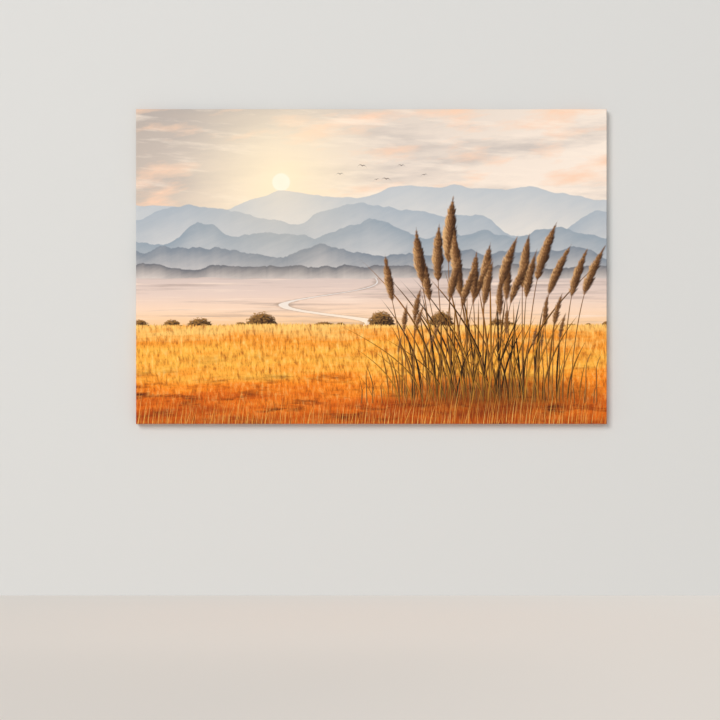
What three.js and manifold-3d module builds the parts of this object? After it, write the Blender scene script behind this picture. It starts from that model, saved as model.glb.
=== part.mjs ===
// A large gallery-wrapped canvas print: printed cloth stretched over a mitred pine frame with keyed corners
// and three braces, hung by three serrated plates. Millimetres, +X to the right, +Y to the wall and +Z up, as
// seen by somebody who looks at the picture along +Y. The origin is on the back face of the middle plate.
import * as THREE from "three";
import { mergeVertices } from "three/addons/utils/BufferGeometryUtils.js";
import Module from "manifold-3d";

const wasm = await Module();
wasm.setup();

// Driving dimensions
const WIDTH = 2400;
const HEIGHT = 1605;
const CLOTH = 0.6;
const GAP = 0.3; // between pieces that touch, such as cloth and wood
const STANDOFF = 4; // from the wall to the back of the bars

const BAR = { width: 45, depth: 38, bead: 9, beadStep: 2.5, slope: 6, round: 3, ease: 1 };
const BRACE = { width: 45, depth: 22, ease: 1.5, offset: 400, tenon: { length: 12, low: 7, high: 15 } };
const KEY = { length: 38, reach: 14, head: 16, tip: 8, thickness: 4, sideDepth: 11, endDepth: 21 };
const FLAP = 28; // how far the cloth turns in over the back of the bars
const HANGER = { length: 66, height: 12.5, plate: 1.2, flat: 40, rise: 4, spacing: 800, inset: 37.5 };
const TEETH = { count: 9, pitch: 4, depth: 2.2, land: 0.4 };
const SCREW = { head: 3.4, headHeight: 1.8, shank: 1.5, length: 14, tip: 4, point: 0.4, sides: 20 };
const CROSS = { reach: 2, half: 0.45, depth: 1 }; // the recess in a screw's head
const PILOT = { radius: 1.8, depth: 15 };
const BUMPER = { radius: 9, edge: 1, inset: 15, sides: 32 };

// Places that follow from them
const OUTER = { x: WIDTH / 2 - CLOTH - GAP, z: HEIGHT / 2 - CLOTH - GAP }; // half sizes of the wooden frame
const INNER = { x: OUTER.x - BAR.width, z: OUTER.z - BAR.width };
const CENTRE_Z = HANGER.inset - OUTER.z; // the picture's middle, below the hanging plates
const WOOD_BACK = -STANDOFF;
const CLOTH_FRONT = WOOD_BACK - BAR.depth - GAP - CLOTH;
const FLAP_BACK = WOOD_BACK + GAP + CLOTH;
const SCREW_OFFSET = HANGER.flat / 2 + HANGER.rise + (HANGER.length / 2 - HANGER.flat / 2 - HANGER.rise) / 2;

const finish = {
  cloth: { color: 0xc98d4a, roughness: 0.82, metalness: 0 },
  pine: { color: 0xd9b887, roughness: 0.7, metalness: 0 },
  beech: { color: 0xc99b6d, roughness: 0.6, metalness: 0 },
  steel: { color: 0xb9bcc0, roughness: 0.35, metalness: 1 },
  rubber: { color: 0x2a2a2c, roughness: 0.9, metalness: 0 },
};

const part = new THREE.Group();

// A three.js geometry as a solid that can be cut and joined.
function solidOf(geometry) {
  const bare = geometry.index ? geometry.toNonIndexed() : geometry.clone();
  bare.deleteAttribute("normal");
  bare.deleteAttribute("uv");
  const merged = mergeVertices(bare, 1e-4);
  return new wasm.Manifold(
    new wasm.Mesh({
      numProp: 3,
      vertProperties: new Float32Array(merged.attributes.position.array),
      triVerts: new Uint32Array(merged.index.array),
    }),
  );
}

function geometryOf(solid) {
  const { vertProperties, triVerts } = solid.getMesh();
  const geometry = new THREE.BufferGeometry();
  geometry.setAttribute("position", new THREE.BufferAttribute(vertProperties, 3));
  geometry.setIndex(new THREE.BufferAttribute(triVerts, 1));
  return geometry;
}

function addPiece(name, geometry, look) {
  geometry.computeVertexNormals();
  const mesh = new THREE.Mesh(geometry, new THREE.MeshStandardMaterial(finish[look]));
  mesh.name = name;
  part.add(mesh);
  return mesh;
}

// A block between two corners. Its points take the corners' own values, so blocks that share a value meet.
function block(low, high) {
  const geometry = new THREE.BoxGeometry(1, 1, 1);
  const place = geometry.attributes.position;
  for (let i = 0; i < place.count; i += 1) {
    const signs = [place.getX(i), place.getY(i), place.getZ(i)];
    place.setXYZ(i, ...signs.map((sign, axis) => (sign < 0 ? low : high)[axis]));
  }
  return geometry;
}

function cutAll(solid, cutters) {
  return cutters.reduce((left, cutter) => left.subtract(solidOf(cutter)), solid);
}

// A convex outline in the X-Z plane given the thickness from y0 to y1.
function plate(points, y0, y1) {
  const outline = points.map(([x, z]) => new THREE.Vector2(x, -z));
  if (THREE.ShapeUtils.isClockWise(outline)) outline.reverse();
  const form = { depth: y1 - y0, bevelEnabled: false };
  const geometry = new THREE.ExtrudeGeometry(new THREE.Shape(outline), form);
  return geometry.rotateX(-Math.PI / 2).translate(0, y0, 0);
}

// A rod about an axis parallel to Y, from a closed profile of radius and height.
function turned(profile, sides, [x, y, z]) {
  const points = profile.map(([radius, height]) => new THREE.Vector2(radius, height));
  return new THREE.LatheGeometry(points, sides).translate(x, y, z);
}

// The section of a stretcher bar: across from its outer edge, and forward from its back. The raised bead
// along the outer front edge is all that the cloth touches, and the face falls away behind it.
function barSection() {
  const { width, depth, bead, beadStep, slope, round, ease } = BAR;
  const section = new THREE.Shape();
  section.moveTo(ease, 0);
  section.lineTo(width - ease, 0);
  section.lineTo(width, ease);
  section.lineTo(width, depth - slope);
  section.lineTo(bead + beadStep, depth - beadStep);
  section.lineTo(bead, depth);
  section.lineTo(round, depth);
  section.absarc(round, depth - round, round, Math.PI / 2, Math.PI, false);
  section.lineTo(0, ease);
  return section;
}

// A bar in its own frame, with X along it, Y inward and Z forward. Its ends are cut on the mitre, so each
// point's distance along falls by its distance inward.
function mitredBar(half) {
  const relief = GAP / Math.SQRT2;
  const form = { depth: 1, bevelEnabled: false, curveSegments: 6 };
  const geometry = new THREE.ExtrudeGeometry(barSection(), form);
  const place = geometry.attributes.position;
  for (let i = 0; i < place.count; i += 1) {
    const inward = place.getX(i);
    const forward = place.getY(i);
    const side = place.getZ(i) * 2 - 1;
    place.setXYZ(i, side * (half - inward - relief), inward, forward);
  }
  return solidOf(geometry);
}

// The slot at each end of a bar that takes a corner key, open to the mitre.
function keySlots(half, low) {
  const inner = half - BAR.width;
  const mouth = (KEY.head + KEY.tip) / 2;
  return [-1, 1].map((end) => {
    const along = [end * (inner - mouth), end * (inner + KEY.reach + 2 * GAP)].sort((a, b) => a - b);
    return block(
      [along[0], BAR.width - KEY.reach - 3 * GAP, low - GAP],
      [along[1], BAR.width + 1, low + KEY.thickness + GAP],
    );
  });
}

// The mortise for a brace's tenon, at a distance along the bar.
function mortise(along) {
  const { length, low, high } = BRACE.tenon;
  const half = BRACE.width / 2 + GAP;
  const end = BAR.width - length - GAP;
  return block([along - half, end, low - GAP], [along + half, BAR.width + 1, high + GAP]);
}

// Puts a piece that is drawn in the bar's frame on one edge of the picture.
function standOnEdge(mesh, inward, outer) {
  const forward = new THREE.Vector3(0, -1, 0);
  const along = new THREE.Vector3().crossVectors(inward, forward);
  mesh.quaternion.setFromRotationMatrix(new THREE.Matrix4().makeBasis(along, inward, forward));
  mesh.position.copy(outer);
}

function addBars() {
  const braces = [-BRACE.offset, BRACE.offset];
  const pilot = (x) =>
    new THREE.CylinderGeometry(PILOT.radius, PILOT.radius, 2 * PILOT.depth, SCREW.sides)
      .rotateX(Math.PI / 2)
      .translate(x, HANGER.inset, 0);
  const pilots = hangerPlaces().flatMap((x) => [pilot(x - SCREW_OFFSET), pilot(x + SCREW_OFFSET)]);
  const edges = [
    { name: "bar_top", half: OUTER.x, inward: [0, 0, -1], outer: [0, OUTER.z], at: braces, more: pilots },
    { name: "bar_bottom", half: OUTER.x, inward: [0, 0, 1], outer: [0, -OUTER.z], at: braces, more: [] },
    { name: "bar_left", half: OUTER.z, inward: [1, 0, 0], outer: [-OUTER.x, 0], at: [0], more: [] },
    { name: "bar_right", half: OUTER.z, inward: [-1, 0, 0], outer: [OUTER.x, 0], at: [0], more: [] },
  ];
  for (const { name, half, inward, outer, at, more } of edges) {
    const slotLow = half === OUTER.x ? KEY.endDepth : KEY.sideDepth;
    const cutters = [...keySlots(half, slotLow), ...at.map(mortise), ...more];
    const mesh = addPiece(name, geometryOf(cutAll(mitredBar(half), cutters)), "pine");
    const corner = new THREE.Vector3(outer[0], WOOD_BACK, CENTRE_Z + outer[1]);
    standOnEdge(mesh, new THREE.Vector3(...inward), corner);
  }
}

// A brace in its own frame, with X along it, Y across and Z forward, with a tenon at each end.
function braceSolid(half) {
  const { width, depth, ease, tenon } = BRACE;
  const w = width / 2;
  const section = new THREE.Shape([
    new THREE.Vector2(-w + ease, 0),
    new THREE.Vector2(w - ease, 0),
    new THREE.Vector2(w, ease),
    new THREE.Vector2(w, depth - ease),
    new THREE.Vector2(w - ease, depth),
    new THREE.Vector2(-w + ease, depth),
    new THREE.Vector2(-w, depth - ease),
    new THREE.Vector2(-w, ease),
  ]);
  const shoulder = half - GAP;
  const body = new THREE.ExtrudeGeometry(section, { depth: 2 * shoulder, bevelEnabled: false })
    .translate(0, 0, -shoulder)
    .applyMatrix4(new THREE.Matrix4().makeBasis(
      new THREE.Vector3(0, 1, 0),
      new THREE.Vector3(0, 0, 1),
      new THREE.Vector3(1, 0, 0),
    ));
  const tongue = block([-half - tenon.length, -w, tenon.low], [half + tenon.length, w, tenon.high]);
  return solidOf(body).add(solidOf(tongue));
}

// Half of a crossing is cut from each brace: the front half of the uprights, the back half of the long one.
function lap(along, low, high) {
  const half = BRACE.width / 2 + GAP;
  return block([along - half, -half, low], [along + half, half, high]);
}

function addBraces() {
  const middle = BRACE.depth / 2;
  const upright = geometryOf(cutAll(braceSolid(INNER.z), [lap(0, middle, BRACE.depth + 1)]));
  for (const [side, sign] of [["left", -1], ["right", 1]]) {
    const mesh = addPiece(`brace_upright_${side}`, upright.clone(), "pine");
    const middleLine = new THREE.Vector3(sign * BRACE.offset, WOOD_BACK, CENTRE_Z);
    standOnEdge(mesh, new THREE.Vector3(1, 0, 0), middleLine);
  }
  const laps = [-BRACE.offset, BRACE.offset].map((x) => lap(x, -1, middle + GAP));
  const long = addPiece("brace_cross", geometryOf(cutAll(braceSolid(INNER.x), laps)), "pine");
  standOnEdge(long, new THREE.Vector3(0, 0, -1), new THREE.Vector3(0, WOOD_BACK, CENTRE_Z));
}

// Two wedges in each corner. Each lies along one bar's inner edge and is driven into the other bar's slot.
function addKeys() {
  const wedge = [
    [-KEY.reach, GAP],
    [KEY.length - KEY.reach, GAP],
    [KEY.length - KEY.reach, KEY.head],
    [-KEY.reach, KEY.tip],
  ];
  for (const [row, sz] of [["top", 1], ["bottom", -1]]) {
    for (const [side, sx] of [["left", -1], ["right", 1]]) {
      const inCorner = ([across, down]) => [sx * (INNER.x - across), CENTRE_Z + sz * (INNER.z - down)];
      const lying = wedge.map(inCorner);
      const standing = wedge.map(([along, off]) => inCorner([off, along]));
      const sideBack = WOOD_BACK - KEY.sideDepth;
      const endBack = WOOD_BACK - KEY.endDepth;
      addPiece(`key_${row}_${side}_lying`, plate(lying, sideBack - KEY.thickness, sideBack), "beech");
      addPiece(`key_${row}_${side}_standing`, plate(standing, endBack - KEY.thickness, endBack), "beech");
    }
  }
}

// The cloth is one sheet over the front, down the four sides and turned in over the back of the bars. Each
// flat stretch of it is a panel of its own: upper and lower ones run the whole width, with the rest between.
function addCloth() {
  const top = CENTRE_Z + HEIGHT / 2;
  const bottom = CENTRE_Z - HEIGHT / 2;
  const skin = { x: WIDTH / 2 - CLOTH, top: top - CLOTH, bottom: bottom + CLOTH };
  const turn = FLAP + GAP;
  const front = [CLOTH_FRONT, CLOTH_FRONT + CLOTH];
  const side = [CLOTH_FRONT + CLOTH, FLAP_BACK];
  const flap = [FLAP_BACK - CLOTH, FLAP_BACK];
  const addPanel = (name, [x0, x1], [y0, y1], [z0, z1]) =>
    addPiece(`canvas_${name}`, block([x0, y0, z0], [x1, y1, z1]), "cloth");

  addPanel("front", [-WIDTH / 2, WIDTH / 2], front, [bottom, top]);
  addPanel("side_top", [-WIDTH / 2, WIDTH / 2], side, [skin.top, top]);
  addPanel("side_bottom", [-WIDTH / 2, WIDTH / 2], side, [bottom, skin.bottom]);
  addPanel("side_left", [-WIDTH / 2, -skin.x], side, [skin.bottom, skin.top]);
  addPanel("side_right", [skin.x, WIDTH / 2], side, [skin.bottom, skin.top]);
  addPanel("flap_top", [-skin.x, skin.x], flap, [skin.top - turn, skin.top]);
  addPanel("flap_bottom", [-skin.x, skin.x], flap, [skin.bottom, skin.bottom + turn]);
  addPanel("flap_left", [-skin.x, turn - skin.x], flap, [skin.bottom + turn, skin.top - turn]);
  addPanel("flap_right", [skin.x - turn, skin.x], flap, [skin.bottom + turn, skin.top - turn]);
}

function hangerPlaces() {
  return [-HANGER.spacing, 0, HANGER.spacing];
}

// A strip of steel that is bent up in the middle, off the wood, with teeth along its lower edge.
function hangerGeometry(x) {
  const { length, height, plate: thick, flat, rise } = HANGER;
  const end = length / 2;
  const bend = flat / 2;
  const foot = bend + rise;
  const lean = thick / 2;
  const backLine = [
    [-end, thick],
    [-foot, thick],
    [-bend, STANDOFF],
    [bend, STANDOFF],
    [foot, thick],
    [end, thick],
  ];
  const frontLine = [
    [end, 0],
    [foot - lean, 0],
    [bend - lean, STANDOFF - thick],
    [-bend + lean, STANDOFF - thick],
    [-foot + lean, 0],
    [-end, 0],
  ];
  const outline = [...backLine, ...frontLine].map(([across, off]) => new THREE.Vector2(across, off));
  outline.reverse();
  const strip = new THREE.ExtrudeGeometry(new THREE.Shape(outline), { depth: height, bevelEnabled: false })
    .translate(0, WOOD_BACK, -height / 2);
  const cutters = [];
  const edge = -height / 2;
  for (let i = 0; i < TEETH.count; i += 1) {
    const middle = (i - (TEETH.count - 1) / 2) * TEETH.pitch;
    const reach = (TEETH.pitch - TEETH.land) / 2;
    const notch = [[middle - reach, edge], [middle + reach, edge], [middle, edge + TEETH.depth]];
    cutters.push(plate(notch, WOOD_BACK, 1));
  }
  for (const side of [-1, 1]) {
    const hole = new THREE.CylinderGeometry(PILOT.radius, PILOT.radius, 4 * thick, SCREW.sides);
    cutters.push(hole.translate(side * SCREW_OFFSET, WOOD_BACK, 0));
  }
  return geometryOf(cutAll(solidOf(strip), cutters)).translate(x, 0, 0);
}

function screwGeometry(x) {
  const { head, headHeight, shank, length, tip, point } = SCREW;
  const profile = [
    [0, -length],
    [point, point - length],
    [shank, tip - length],
    [shank, 0],
    [head, 0],
    [head, headHeight * 0.45],
    [head * 0.8, headHeight * 0.85],
    [head * 0.4, headHeight],
    [0, headHeight],
  ];
  const seat = WOOD_BACK + HANGER.plate;
  const arms = [[CROSS.reach, CROSS.half], [CROSS.half, CROSS.reach]];
  const floor = headHeight - CROSS.depth;
  const recess = arms.map(([w, h]) => block([-w, floor, -h], [w, headHeight + 1, h]));
  const solid = cutAll(solidOf(turned(profile, SCREW.sides, [0, 0, 0])), recess);
  return geometryOf(solid).translate(x, seat, 0);
}

function addHangers() {
  const names = ["left", "middle", "right"];
  hangerPlaces().forEach((x, i) => {
    addPiece(`hanger_${names[i]}`, hangerGeometry(x), "steel");
    addPiece(`screw_${names[i]}_a`, screwGeometry(x - SCREW_OFFSET), "steel");
    addPiece(`screw_${names[i]}_b`, screwGeometry(x + SCREW_OFFSET), "steel");
  });
}

// Round pads that hold the lower edge as far off the wall as the hanging plates hold the upper one.
function addBumpers() {
  const { radius, edge, inset, sides } = BUMPER;
  const thick = -FLAP_BACK;
  const profile = [
    [0, 0],
    [radius, 0],
    [radius, thick - edge],
    [radius - edge, thick],
    [0, thick],
  ];
  for (const [side, sign] of [["left", -1], ["right", 1]]) {
    const place = [sign * (OUTER.x - inset), FLAP_BACK, CENTRE_Z - OUTER.z + inset];
    addPiece(`bumper_${side}`, turned(profile, sides, place), "rubber");
  }
}

addBars();
addBraces();
addKeys();
addCloth();
addHangers();
addBumpers();

export default part;
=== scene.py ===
"""Looks of a large stretched canvas print: the printed cloth, the pine frame behind it and its hanging gear.

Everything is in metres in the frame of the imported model: +X to the right of somebody who looks at the picture,
+Y into the wall and +Z up, with the wall at y = 0. A colour is given as the eye sees it on a screen, from 0 to 1
a channel, and turned into linear light where it reaches a node or a lamp.
"""

import logging
import math
from dataclasses import dataclass
from enum import Enum
from functools import partial
from typing import Callable, Dict, List, Sequence, Tuple, Union

import bmesh
import bpy
import numpy as np
from bpy.types import ID, Material, Mesh, Node, NodeSocket, NodeTree, Object
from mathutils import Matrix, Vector


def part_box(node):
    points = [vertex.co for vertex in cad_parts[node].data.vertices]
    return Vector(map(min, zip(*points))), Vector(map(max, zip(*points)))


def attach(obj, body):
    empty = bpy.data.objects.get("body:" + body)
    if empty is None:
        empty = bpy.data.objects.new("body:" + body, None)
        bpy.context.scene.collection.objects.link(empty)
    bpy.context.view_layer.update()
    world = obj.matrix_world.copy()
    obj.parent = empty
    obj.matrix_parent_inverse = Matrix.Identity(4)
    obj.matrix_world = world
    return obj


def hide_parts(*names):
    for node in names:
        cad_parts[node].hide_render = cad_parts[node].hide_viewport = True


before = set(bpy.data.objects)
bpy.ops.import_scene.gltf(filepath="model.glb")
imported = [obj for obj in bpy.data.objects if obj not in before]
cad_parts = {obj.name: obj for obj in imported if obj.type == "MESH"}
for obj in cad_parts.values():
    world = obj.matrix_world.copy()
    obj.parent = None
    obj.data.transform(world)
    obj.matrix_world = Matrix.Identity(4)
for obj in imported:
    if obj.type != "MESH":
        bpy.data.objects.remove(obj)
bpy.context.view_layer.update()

log = logging.getLogger("canvas_print")

MM = 0.001
QUARTER = math.pi / 2
ROOT = "root"
FLAT_MAP = "cloth"
TINY = 1e-9

# The print's cells are shifted by that share of their seed. A lot seldom leaves the range from 0.2 to LOT_HIGH, and
# LOT_STRETCH spreads that range over about one.
CELL_SHIFT = 0.37
LOT_HIGH = 0.8
LOT_STRETCH = 1.6

Colour = Tuple[float, float, float]
Place = Tuple[float, float, float]
Array = np.ndarray


class Slot(Enum):
    """The record's material slots."""

    PRINTED = "printed_canvas"
    PINE = "pine"
    BEECH = "beech"
    ZINC = "zinc_steel"
    RUBBER = "rubber"


class Side(Enum):
    """The four sides of the cloth, in the order in which its border runs round the front."""

    BOTTOM = 0
    RIGHT = 1
    TOP = 2
    LEFT = 3


class Grain(Enum):
    """Which way a board's grain runs."""

    ACROSS = "x"
    UPRIGHT = "z"


def linear(seen: Colour) -> Tuple[float, ...]:
    """Turns a colour as seen into linear light with full opacity, by the standard curve of screens."""
    tint = np.array(seen)
    return (*np.where(tint <= 0.04045, tint / 12.92, ((tint + 0.055) / 1.055) ** 2.4).tolist(), 1.0)


def climb(values: Array, low: float, high: float) -> Array:
    """Goes straight from nought to one as the values go from low to high, and stays level beyond them."""
    return np.clip((values - low) / (high - low), 0.0, 1.0)


def ring_quads(values: Array) -> Array:
    """The values at the four corners of each quad between closed rings.

    Args:
        values: A row of values for each ring.

    Returns:
        A row of four values for each quad, ring by ring.
    """
    after = np.roll(values, -1, axis=1)
    return np.stack([values[:-1], values[1:], after[1:], after[:-1]], axis=2).reshape(-1, 4)


def sum_of(operation: str, wire_last: bool = False) -> Callable[..., "Wire"]:
    """Makes a method that works out one sum of a wire and other amounts.

    Args:
        operation: The sum.
        wire_last: Whether the wire comes after the other amount.

    Returns:
        The method.
    """
    def work(wire: "Wire", *others: "Amount") -> "Wire":
        """Works out the sum."""
        return wire.sketch.calc(operation, *((*others, wire) if wire_last else (wire, *others)))
    return work


class Wire:
    """One output of a shader node. Ordinary arithmetic on it makes the nodes that work it out.

    line is this times a slope, plus a start. floor is the whole number below this, and fraction what is left
    above it.
    """

    __add__ = sum_of("ADD")
    __sub__ = sum_of("SUBTRACT")
    __rsub__ = sum_of("SUBTRACT", wire_last=True)
    __mul__ = sum_of("MULTIPLY")
    __truediv__ = sum_of("DIVIDE")
    __pow__ = sum_of("POWER")
    __abs__ = sum_of("ABSOLUTE")
    line = sum_of("MULTIPLY_ADD")
    floor = sum_of("FLOOR")
    fraction = sum_of("FRACT")

    def __init__(self, sketch: "Sketch", socket: NodeSocket) -> None:
        """Remembers the drawing and the socket."""
        self.sketch = sketch
        self.socket = socket

    def climb(self, low: float, high: float) -> "Wire":
        """Goes straight from nought to one as this goes from low to high, and stays level beyond them."""
        slope = 1.0 / (high - low)
        return self.sketch.calc("MULTIPLY_ADD", self, slope, -low * slope, clamp=True)

    def inside(self, soft: float) -> "Wire":
        """Goes from nought to one as this, a distance inside an edge, passes nought, over twice soft."""
        return self.line(0.5 / soft, 0.5)


Amount = Union[Wire, float]
Tint = Union[Wire, Colour]
Feed = Union[Wire, float, Sequence[float]]
Feeds = Dict[Union[int, str], Feed]


class Sketch:
    """A shader graph, drawn with short calls that each return the output they made."""

    def __init__(self, tree: NodeTree) -> None:
        """Starts with the nodes cleared away."""
        self.tree = tree
        self.tree.nodes.clear()

    def feed(self, socket: NodeSocket, value: Feed) -> None:
        """Links a wire to a socket, or sets the socket to a plain value or colour.

        Args:
            socket: The socket.
            value: What it gets.
        """
        if isinstance(value, Wire):
            self.tree.links.new(value.socket, socket)
        else:
            socket.default_value = linear(value) if socket.type == "RGBA" else value

    def node(self, kind: str, feeds: Feeds, **settings: object) -> Node:
        """Adds a node.

        Args:
            kind: The end of the node's type name.
            feeds: What goes into each input, by its number or name.
            **settings: The node's own settings.

        Returns:
            The node.
        """
        made = self.tree.nodes.new(f"ShaderNode{kind}")
        for name, setting in settings.items():
            setattr(made, name, setting)
        for key, value in feeds.items():
            self.feed(made.inputs[key], value)
        return made

    def make(self, kind: str, feeds: Feeds, output: Union[int, str] = 0, **settings: object) -> Wire:
        """Adds a node in the same way, and returns one of its outputs."""
        return Wire(self, self.node(kind, feeds, **settings).outputs[output])

    def calc(self, operation: str, *amounts: Amount, clamp: bool = False) -> Wire:
        """Works out one sum of up to three amounts, kept between nought and one where clamp is set."""
        return self.make("Math", dict(enumerate(amounts)), operation=operation, use_clamp=clamp)

    def mix(self, share: Amount, under: Tint, over: Tint) -> Wire:
        """Lays as much of one colour over another as the share says. The node's inputs 6 and 7 are its colours."""
        return self.make("Mix", {0: share, 6: under, 7: over}, 2, data_type="RGBA", clamp_factor=True)

    def shade(self, colour: Tint, amount: Amount) -> Wire:
        """Makes a colour lighter or darker, as many times as the amount says."""
        return self.make("HueSaturation", {"Color": colour, "Value": amount})

    def ramp(self, value: Wire, *stops: Sequence[float]) -> Wire:
        """Runs through a row of colours.

        Args:
            value: The place along the row, from 0 to 1.
            *stops: For each colour its place and its three channels.

        Returns:
            The colour at the value.
        """
        made = self.node("ValToRGB", {0: value})
        elements = made.color_ramp.elements
        while len(elements) < len(stops):
            elements.new(0.5)
        for element, (place, *tint) in zip(elements, stops):
            element.position = place
            element.color = linear(tint)
        return Wire(self, made.outputs[0])

    def join(self, x: Amount, y: Amount, z: Amount) -> Wire:
        """Three amounts as one place."""
        return self.make("CombineXYZ", {0: x, 1: y, 2: z})

    def split(self, place: Wire) -> Tuple[Wire, ...]:
        """The three amounts of a place."""
        return tuple(Wire(self, socket) for socket in self.node("SeparateXYZ", {0: place}).outputs)

    def noise(self, place: Wire, detail: float, rough: float = 0.5, scale: float = 1.0) -> Wire:
        """Cloudy noise about one half, with finer noise added as the detail grows."""
        return self.make("TexNoise", {"Vector": place, "Scale": scale, "Detail": detail, "Roughness": rough})

    def wander(self, place: Wire, long: float, seed: float, detail: float, rough: float = 0.5) -> Wire:
        """Noise about one half along a line.

        Args:
            place: The place along the line, in metres.
            long: Length of its waves in metres.
            seed: Picks another piece of noise.
            detail: How many finer layers it has.
            rough: How strong the finer layers are.

        Returns:
            The noise.
        """
        along = place.line(1.0 / long, seed)
        feeds = {"W": along, "Scale": 1.0, "Detail": detail, "Roughness": rough}
        return self.make("TexNoise", feeds, noise_dimensions="1D")

    def lots(self, number: Wire, seed: float) -> Tuple[Wire, ...]:
        """Three random amounts, mostly between 0.2 and 0.8, that stay the same for the same number."""
        return tuple(self.wander(number, long, seed * 1.73 + 0.4, 0.0) for long in (0.137, 0.219, 0.181))

    def drift(
        self, wide: float, tall: float, seed: float, detail: float = 4.0, rough: float = 0.5,
        turn: float = 0.0,
    ) -> Wire:
        """Cloudy noise about one half on the flat cloth.

        Args:
            wide: Width of its clouds in metres.
            tall: Height of its clouds in metres.
            seed: Picks another piece of noise.
            detail: How many finer layers it has.
            rough: How strong the finer layers are.
            turn: Degrees that the clouds are turned anticlockwise.

        Returns:
            The noise.
        """
        place = self.make("Mapping", {
            "Vector": self.make("UVMap", {}, uv_map=FLAT_MAP),
            "Location": (seed * 0.731, seed * 0.377, seed),
            "Rotation": (0.0, 0.0, math.radians(turn)),
            "Scale": (wide, tall, 1.0),
        }, vector_type="TEXTURE")
        return self.noise(place, detail, rough)


class Layer(Sketch):
    """One layer of the picture, in a node group of its own, which keeps the graph quick to make.

    x and z are metres to the right and up on the cloth, under is the colour below the layer, and seen is the
    colour painted so far, which starts as the one below.
    """

    def __init__(self, name: str) -> None:
        """Starts a group with its sockets.

        Args:
            name: The group's name.
        """
        tree = bpy.data.node_groups.new(name, "ShaderNodeTree")
        for label, kind in (("Right", "Float"), ("Up", "Float"), ("Under", "Color")):
            tree.interface.new_socket(label, in_out="INPUT", socket_type=f"NodeSocket{kind}")
        tree.interface.new_socket("Seen", in_out="OUTPUT", socket_type="NodeSocketColor")
        super().__init__(tree)
        given = tree.nodes.new("NodeGroupInput").outputs
        self.x, self.z, self.under = (Wire(self, socket) for socket in given[:3])
        self.seen: Tint = self.under

    def lay(self, share: Amount, over: Tint) -> None:
        """Paints a colour over what is seen, as much of it as the share says."""
        self.seen = self.mix(share, self.seen, over)

    def cover(self, edge: Wire, over: Tint, soft: float) -> None:
        """Paints a colour where the distance inside an edge is above nought."""
        self.lay(edge.inside(soft), over)

    def trim(self, edge: Wire, soft: float) -> None:
        """Keeps the paint inside an edge, and brings the colour below the layer back beyond it."""
        self.seen = self.mix(edge.inside(soft), self.under, self.seen)

    def close(self) -> NodeTree:
        """Ends the group and returns it."""
        self.feed(self.tree.nodes.new("NodeGroupOutput").inputs[0], self.seen)
        return self.tree


class Finish(Sketch):
    """The shader graph of a new material."""

    def __init__(self, name: str) -> None:
        """Starts the material.

        Args:
            name: The material's name.
        """
        self.material = bpy.data.materials.new(name)
        self.material.use_nodes = True
        super().__init__(self.material.node_tree)

    def object_place(self) -> Tuple[Wire, ...]:
        """The point's place in the model, in metres."""
        return self.split(self.make("TexCoord", {}, "Object"))

    def stretch(self, place: Sequence[Wire], times: Sequence[float]) -> Wire:
        """A place with its three amounts that many times as large."""
        return self.join(*(amount * most for amount, most in zip(place, times)))

    def flecks(self, place: Sequence[Wire], times: Sequence[float], detail: float, rough: float = 0.5) -> Wire:
        """Noise about one half in the model, with about that many clouds to a metre each way."""
        return self.noise(self.stretch(place, times), detail, rough)

    def relief(self, height: Wire, tall: float, strength: float) -> Wire:
        """Tilts the surface as a relief of that height in metres would."""
        return self.make("Bump", {"Strength": strength, "Distance": tall, "Height": height})

    def end(self, shader: Wire) -> Material:
        """Puts a shader on the surface and returns the material."""
        self.node("OutputMaterial", {0: shader})
        return self.material

    def finish(self, **sockets: Feed) -> Material:
        """Ends the drawing with the usual shader, whose inputs are named with underscores for spaces."""
        return self.end(self.make("BsdfPrincipled", {k.replace("_", " "): v for k, v in sockets.items()}))


class ClothFinish(Finish):
    """A finish on the cloth laid flat, with x and z in metres to the right and up from its middle."""

    def __init__(self, name: str) -> None:
        """Starts the material and reads the place."""
        super().__init__(name)
        self.x, self.z, _ = self.split(self.make("UVMap", {}, uv_map=FLAT_MAP))


@dataclass(frozen=True)
class Weave:
    """The plain weave of artist's cotton, in which each thread goes over one and under the next.

    pitch is the distance between threads and tall the height of the relief. A thick place in a thread is
    slub_long by slub_wide.
    """

    pitch: float = 1.15 * MM
    tall: float = 0.16 * MM
    slub_long: float = 71 * MM
    slub_wide: float = 2.3 * MM

    def height(self, s: ClothFinish) -> Wire:
        """The relief of the threads.

        A thread's height is the sine across it, dipped where the sine along it is small. On every second
        square the upright thread lies on top, and on the others the level one does. Noise drawn out along
        the threads makes some of them thicker.

        Args:
            s: The cloth's finish.

        Returns:
            The height, from about 0 to 1.
        """
        right, up = s.x / self.pitch, s.z / self.pitch
        warp, weft = (abs(s.calc("SINE", way * math.pi)) for way in (right, up))
        parity = s.calc("PINGPONG", right.floor() + up.floor(), 1.0)
        over, under = warp * weft.line(0.45, 0.55), weft * warp.line(0.45, 0.55)
        thick_warp = s.drift(self.slub_wide, self.slub_long, 1.0, 1.0)
        thick_weft = s.drift(self.slub_long, self.slub_wide, 3.0, 1.0)
        return (over + (under - over) * parity).line(0.78, (thick_warp + thick_weft) * 0.22)


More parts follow.
